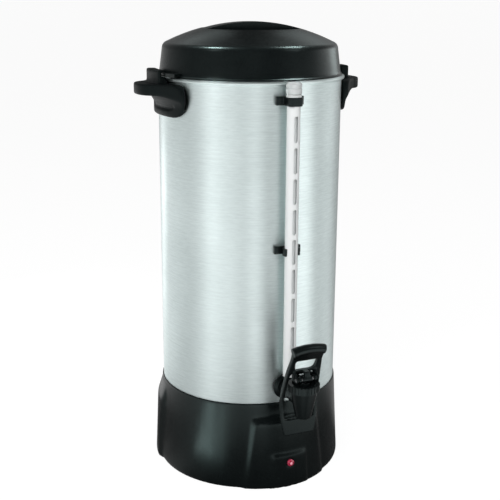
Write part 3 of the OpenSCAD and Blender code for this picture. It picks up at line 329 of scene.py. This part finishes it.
SPRING_TURNS = 6.5
SPRING_END_TURNS = 1.0     # of the coil that lies flat at each end
SPRING_STEPS = 36          # per turn
SPRING_WIRE = 0.45 * MM    # radius


def make_spring():
    """A round wire coil with flat ends, in the valve spring's place."""
    node = NODES["valve_spring"]
    corners = [node.matrix_world @ Vector(corner) for corner in node.bound_box]
    low, high = min(c.z for c in corners), max(c.z for c in corners)
    centre = sum(corners, Vector()) / len(corners)
    outer = (max(c.x for c in corners) - min(c.x for c in corners)) / 2
    free_turns = SPRING_TURNS - 2 * SPRING_END_TURNS
    pitch = (high - low - 4 * SPRING_WIRE) / free_turns     # each flat end takes up 2 * SPRING_WIRE
    curve = bpy.data.curves.new("valve_coil", "CURVE")
    curve.dimensions = "3D"
    curve.bevel_depth = SPRING_WIRE
    curve.bevel_resolution = 3
    curve.use_fill_caps = True
    line = curve.splines.new("POLY")
    count = int(SPRING_TURNS * SPRING_STEPS)
    line.points.add(count)
    for i, point in enumerate(line.points):
        turn = SPRING_TURNS * i / count
        free = min(max(turn - SPRING_END_TURNS, 0.0), free_turns)
        flat = min(turn, SPRING_END_TURNS) + max(turn - SPRING_TURNS + SPRING_END_TURNS, 0.0)
        z = low + SPRING_WIRE + free * pitch + flat * SPRING_WIRE
        angle = 2 * math.pi * turn
        point.co = (centre.x + (outer - SPRING_WIRE) * math.cos(angle),
                    centre.y + (outer - SPRING_WIRE) * math.sin(angle), z, 1.0)
    coil = bpy.data.objects.new("valve_coil", curve)
    bpy.context.scene.collection.objects.link(coil)
    mesh = bpy.data.meshes.new_from_object(coil.evaluated_get(
        bpy.context.evaluated_depsgraph_get()))
    bpy.data.objects.remove(coil)
    spring = bpy.data.objects.new("valve_coil", mesh)
    bpy.context.scene.collection.objects.link(spring)
    for polygon in mesh.polygons:
        polygon.use_smooth = True
    mesh.materials.append(MATERIALS["steel"])
    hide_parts("valve_spring")
    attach(spring, "urn")
    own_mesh(spring)


# ---- stage: floor, world and lamps ----

FLOOR_HALF = 90.0
FLOOR_DROP = 0.0002        # below the feet, so that no faces coincide
FLOOR_GREY = 0.20
FLOOR_LIT = 0.8            # share of its colour that the floor shows under the lamps
FLOOR_WHITE = 0.90         # what the floor adds for the camera, so that it reads white
NEAR_TO_FAR = (0.26, 0.40)         # distances from the axis between which the floor changes
LOW_TO_HIGH = (0.12, 0.35)         # heights of a direction between which the walls change
HIGH_TO_CEILING = (0.75, 0.97)
TOP_LEVEL = 2.0                    # the brightest level in the tables below

# Brightness of the studio, as (degrees from the camera, positive right; level): what polished
# surfaces see of the floor far off and close by, of the walls low down, and higher up
FAR_FLOOR = ((-180, 0.59), (-152, 0.70), (-136, 1.14), (-104, 1.31), (-81, 1.14), (-62, 1.24),
             (-45, 1.29), (-21, 1.88), (-6, 1.29), (9, 2.00), (24, 0.79), (42, 1.82), (60, 1.68),
             (71, 1.45), (91, 0.63), (117, 0.79), (136, 0.39), (180, 0.46))
NEAR_FLOOR = ((-180, 0.10), (-100, 0.12), (-78, 0.30), (-54, 0.60), (-36, 0.30), (-20, 0.12),
              (100, 0.12), (130, 0.60), (155, 0.12), (180, 0.10))
LOW_WALL = ((-180, 0.28), (-146, 0.34), (-110, 0.28), (-78, 0.18), (-62, 0.34), (-46, 0.58),
            (-30, 0.30), (-14, 0.04), (6, 0.24), (26, 0.04), (66, 0.31), (86, 0.57), (104, 1.51),
            (126, 2.00), (146, 0.65), (180, 0.27))
HIGH_WALL = ((-180, 0.03), (-172, 0.10), (-162, 0.40), (-120, 0.30), (-40, 0.15), (40, 0.15),
             (120, 0.35), (162, 0.48), (172, 0.10), (180, 0.03))
CEILING = 0.15
SHEEN_TINT = (0.86, 1.0, 0.99)     # the photograph's black plastic shines a little green


def bearing(nodes, direction):
    """Node socket with the bearing of a direction from the camera's, as 0..1."""
    turned = nodes.add("ShaderNodeVectorRotate", {"Vector": direction, "Angle": -CAMERA_AZIMUTH},
                       rotation_type="Z_AXIS").outputs[0]
    x, y, _ = nodes.add("ShaderNodeSeparateXYZ", {"Vector": turned}).outputs
    angle = nodes.math("ARCTAN2", x, nodes.math("MULTIPLY", y, -1.0))
    return nodes.spread(angle, 0.0, 1.0, -math.pi, math.pi)


def level_at(nodes, place, levels):
    """Node socket with the level that a table such as FAR_FLOOR gives at a bearing."""
    ramp = nodes.add("ShaderNodeValToRGB", {"Fac": place})
    ramp.color_ramp.interpolation = "EASE"
    stops = ramp.color_ramp.elements
    stops.remove(stops[1])
    for i, (degrees, level) in enumerate(levels):
        position = degrees / 360 + 0.5
        stop = stops[0] if i == 0 else stops.new(position)
        stop.position = position
        stop.color = (*[level / TOP_LEVEL] * 3, 1.0)
    return nodes.math("MULTIPLY", ramp.outputs["Color"], TOP_LEVEL)


def mixed(nodes, factor, first, second):
    """Node socket with a blend of two numbers or sockets."""
    node = nodes.add("ShaderNodeMix", {"Factor": factor})
    for socket, value in (("A", first), ("B", second)):
        if isinstance(value, bpy.types.NodeSocket):
            nodes.tree.links.new(value, node.inputs[socket])
        else:
            node.inputs[socket].default_value = value
    return node.outputs["Result"]


def make_floor():
    """A pale floor to the horizon: white for the camera, bands of light for what reflects it."""
    mesh = bpy.data.meshes.new("floor")
    corners = [(-FLOOR_HALF, -FLOOR_HALF, 0), (FLOOR_HALF, -FLOOR_HALF, 0),
               (FLOOR_HALF, FLOOR_HALF, 0), (-FLOOR_HALF, FLOOR_HALF, 0)]
    mesh.from_pydata(corners, [], [(0, 1, 2, 3)])
    floor = bpy.data.objects.new("floor", mesh)
    floor.location.z = -FLOOR_DROP
    bpy.context.scene.collection.objects.link(floor)
    f = Finish("floor", Roughness=0.9, Specular_IOR_Level=0.1)
    f.shader.inputs["Base Color"].default_value = (FLOOR_GREY, FLOOR_GREY, FLOOR_GREY, 1.0)
    rays = f.add("ShaderNodeLightPath").outputs
    mirrored = f.math("MAXIMUM", rays["Is Glossy Ray"], rays["Is Transmission Ray"])
    place = f.place()
    side = bearing(f, place)
    reach = f.add("ShaderNodeVectorMath", {0: place}, operation="LENGTH").outputs["Value"]
    level = mixed(f, f.spread(reach, 0.0, 1.0, *NEAR_TO_FAR), level_at(f, side, NEAR_FLOOR),
                  level_at(f, side, FAR_FLOOR))
    lit = f.math("MAXIMUM", f.math("SUBTRACT", level, FLOOR_LIT * FLOOR_GREY), 0.0)
    f.shader.inputs["Emission Color"].default_value = (1.0, 1.0, 1.0, 1.0)
    f.link(f.math("ADD", f.math("MULTIPLY", rays["Is Camera Ray"], FLOOR_WHITE),
                  f.math("MULTIPLY", mirrored, lit)), "Emission Strength")
    floor.data.materials.append(f.material)


def make_world():
    """Upright soft panels of light round the urn, fading to an even ceiling."""
    world = bpy.data.worlds.new("studio")
    world.use_nodes = True
    nodes = Nodes(world.node_tree)
    nodes.tree.nodes.clear()
    direction = nodes.add("ShaderNodeTexCoord").outputs["Generated"]
    _, _, z = nodes.add("ShaderNodeSeparateXYZ", {"Vector": direction}).outputs
    side = bearing(nodes, direction)
    walls = mixed(nodes, nodes.spread(z, 0.0, 1.0, *LOW_TO_HIGH), level_at(nodes, side, LOW_WALL),
                  level_at(nodes, side, HIGH_WALL))
    sky = mixed(nodes, nodes.spread(z, 0.0, 1.0, *HIGH_TO_CEILING), walls, CEILING)
    seen = nodes.add("ShaderNodeLightPath").outputs["Is Camera Ray"]
    sky = mixed(nodes, seen, sky, 1.0)
    background = nodes.add("ShaderNodeBackground", {"Color": (1, 1, 1, 1), "Strength": sky})
    out = nodes.add("ShaderNodeOutputWorld")
    nodes.tree.links.new(background.outputs[0], out.inputs["Surface"])
    bpy.context.scene.world = world


LAMP_AIM = 0.3             # height on the urn's axis at which the higher lamps point
LYING_AIM = 60.0           # lying lamps point this many times their distance up


def softbox(name, azimuth, distance, height, width, tall, radiance, lying=False):
    """A lamp that faces the urn, or lies on the floor with its long side towards it; azimuth is
    in degrees from the camera, positive right."""
    data = bpy.data.lights.new(name, "AREA")
    data.shape = "RECTANGLE"
    data.size = width
    data.size_y = tall
    data.energy = radiance * math.pi * width * tall
    lamp = bpy.data.objects.new(name, data)
    bpy.context.scene.collection.objects.link(lamp)
    turn = CAMERA_AZIMUTH + math.radians(azimuth)
    lamp.location = (math.sin(turn) * distance, -math.cos(turn) * distance, height)
    target = Vector((0, 0, LYING_AIM * distance if lying else min(height, LAMP_AIM)))
    lamp.rotation_euler = (target - lamp.location).to_track_quat("-Z", "Y").to_euler()
    lamp.visible_camera = False
    return lamp


def sheen(piece, *row, lying):
    """A softbox that gives one dark moulding a highlight and leaves the rest alone."""
    lamp = softbox(*row, lying=lying)
    lamp.data.color = SHEEN_TINT
    lamp.visible_diffuse = False
    lit = bpy.data.collections.new(lamp.name)
    lit.objects.link(NODES[piece])
    lamp.light_linking.receiver_collection = lit


# Softboxes: name, azimuth, distance, height, width, length, radiance
SOFTBOXES = (
    ("left_low", -46, 0.9, 0.19, 0.28, 0.34, 1.2),
    ("right_low", 72, 0.9, 0.19, 0.20, 0.34, 2.0),
    ("left_rear_low", -136, 0.9, 0.19, 0.20, 0.34, 2.2),
    ("front_low", 8, 1.0, 0.19, 0.12, 0.34, 1.4),
    ("left_high", -47, 1.5, 1.35, 0.30, 0.5, 5.0),
    ("right_high", 62, 1.5, 1.35, 0.30, 0.5, 5.0),
)
FILL = ("fill", -10, 2.4, 1.7, 2.0, 2.0, 4.5)      # shows in no reflection

# Highlights on one piece: piece, whether the lamp lies on the floor, then as above
SHEENS = (
    ("base_skirt", True, "base_left", -42, 0.37, 0.006, 0.07, 0.34, 6.0),
    ("base_skirt", True, "console_left", -28, 0.37, 0.006, 0.05, 0.34, 3.0),
    ("lid", False, "dome_left", -160, 1.5, 1.6, 0.65, 0.5, 0.52),
    ("lid", False, "dome_right", 158, 1.5, 1.4, 0.65, 0.6, 0.5),
    ("lid", False, "lid_right", 130, 1.5, 0.6, 0.5, 0.3, 2.0),
    ("lid", False, "shoulder_left", -74, 0.9, 2.1, 0.30, 0.30, 150.0),
    ("lid", False, "shoulder_right", 107, 0.9, 2.1, 0.30, 0.30, 95.0),
)


def make_lights():
    make_world()
    for row in SOFTBOXES:
        softbox(*row)
    softbox(*FILL).visible_glossy = False
    for piece, lying, *row in SHEENS:
        sheen(piece, *row, lying=lying)


# ---- assembly ----

bpy.context.scene.view_settings.view_transform = "Standard"
make_camera()
make_materials()
finish_cad_nodes()
soften_mouldings()
make_spring()
make_floor()
make_lights()
